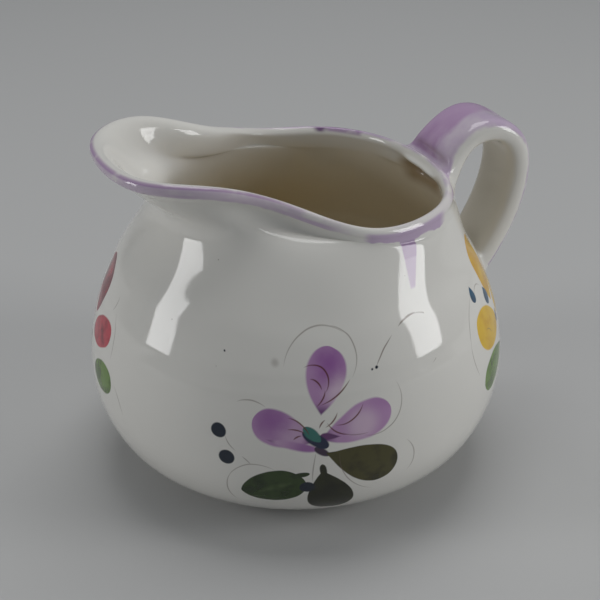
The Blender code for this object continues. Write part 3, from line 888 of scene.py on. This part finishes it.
drip = (drip_half - from_drip).ramp(0.0, 0.6) * z.ramp(DRIP_BOTTOM - 0.6, DRIP_BOTTOM + 0.6)
drip = drip * below_bead * y.math("LESS_THAN", 0.0)
colour = colour.under(LAVENDER, (wash | drip) * (0.78 + 0.22 * wisp))
colour = colour.under(VIOLET, drip * z.ramp(107.5, 108.5) * z.ramp(114, 112.5) * 0.45)
far_crest = rim_run.ramp(-1.6, -0.6) * rim_run.ramp(1.8, 0.6) * y.ramp(10, 30)
colour = colour.under(LAVENDER, far_crest * wisp.ramp(0.25, 0.55) * 0.55)
far_wash = abs(degrees_round - FAR_WASH_ANGLE).ramp(9, 6)
far_wash = far_wash * rim_run.ramp(-1.6, -0.6) * rim_run.ramp(2.8, 1.6)
colour = colour.under(VIOLET, far_wash * wisp.ramp(0.30, 0.50) * 0.7)
blot = (abs(degrees_round - BLOT_ANGLE) + rim_run * 0.7 + 4 * wisp).ramp(7.0, 3.4)
blot = blot * rim_run.ramp(0.0, 0.8) * rim_run.ramp(3.4, 1.8)
colour = colour.under(LILAC_TIP, blot * 0.9)

# The same lavender along the handle's top, in long strokes, with the near edge left bare, partly
# as a painted highlight along that edge, and a darker violet towards the upper joint as painted
# shade
HANDLE_LAVENDER = (0.475, 0.310, 0.500, 1)
along_strap = shade.node("CombineXYZ", (), {0: strap_run * 0.6, 1: y, 2: 0.0})
strokes = grain(0.12, 4.0, along_strap)
painted = strap_run.ramp(0.5, 4) * strap_run.ramp(66, 42) * strap_side.ramp(-0.1, 0.6)
# The near edge is kept bare of lavender, partly as a painted highlight along it.
off_highlit_near_edge = (y + (strokes - 0.5) * 12 - strap_run * 0.02).ramp(-6.0, 0.5)
painted = painted * off_highlit_near_edge
colour = colour.under(HANDLE_LAVENDER, painted * (0.60 + 0.45 * strokes))
# Darker violet towards the upper joint with the rim: painted shade.
colour = colour.under(VIOLET, painted * strap_run.ramp(28, 2) * strokes.ramp(0.36, 0.66) * 0.5)
tree.links.new(colour.socket, surface.inputs["Base Color"])

# The glaze is glassy. Its surface has slow waves where it ran, with a finer unevenness on top,
# and its gloss varies a little.
WAVE_HEIGHT = 0.00045
waves = grain(0.030, 1.0) + grain(0.45, 2.0) * 0.012
relief = shade.node("Bump", (), {"Strength": 1.0, "Distance": WAVE_HEIGHT, "Height": waves})
tree.links.new(relief.socket, surface.inputs["Normal"])
gloss = 0.045 + 0.05 * grain(0.20, 3.0)
tree.links.new(gloss.socket, surface.inputs["Roughness"])
pitcher.data.materials.append(glaze)

# The studio: a plain pale floor, a tall soft window on each side, a soft light overhead and a
# weak sky.
FLOOR_SIZE = 8.0
FLOOR_COLOUR = (0.52, 0.52, 0.515, 1)
SKY_COLOUR = (0.135, 0.145, 0.155, 1)
floor_bm = bmesh.new()
bmesh.ops.create_grid(floor_bm, x_segments=1, y_segments=1, size=FLOOR_SIZE / 2)
floor_shape = bpy.data.meshes.new("studio_floor")
floor_bm.to_mesh(floor_shape)
floor_bm.free()
studio_floor = bpy.data.objects.new("studio_floor", floor_shape)
bpy.context.collection.objects.link(studio_floor)
paper = bpy.data.materials.new("pale_paper")
paper.use_nodes = True
matt = paper.node_tree.nodes["Principled BSDF"]
matt.inputs["Base Color"].default_value = FLOOR_COLOUR
matt.inputs["Roughness"].default_value = 0.9
studio_floor.data.materials.append(paper)


def window(name, place, size, power):
    """A soft rectangular light that faces the pitcher, placed as the camera sees the room."""
    light = bpy.data.lights.new(name, "AREA")
    light.shape = "RECTANGLE"
    light.size, light.size_y = size
    light.energy = power
    lamp = bpy.data.objects.new(name, light)
    bpy.context.collection.objects.link(lamp)
    spot = turn @ Vector(place)
    aimed = (Vector((0, 0, 0.07)) - spot).to_track_quat("-Z", "Y").to_matrix().to_4x4()
    lamp.matrix_world = Matrix.Translation(spot) @ aimed


window("left_window", (-1.13, -0.22, 0.37), (0.34, 0.52), 3.3)
window("right_window", (1.12, -0.27, 0.40), (0.40, 0.58), 4.6)
window("soft_top", (0.05, 0.35, 1.5), (1.0, 1.0), 9.0)
sky = bpy.data.worlds.new("studio")
sky.use_nodes = True
sky.node_tree.nodes["Background"].inputs["Color"].default_value = SKY_COLOUR
bpy.context.scene.world = sky
bpy.context.scene.view_settings.view_transform = "Standard"
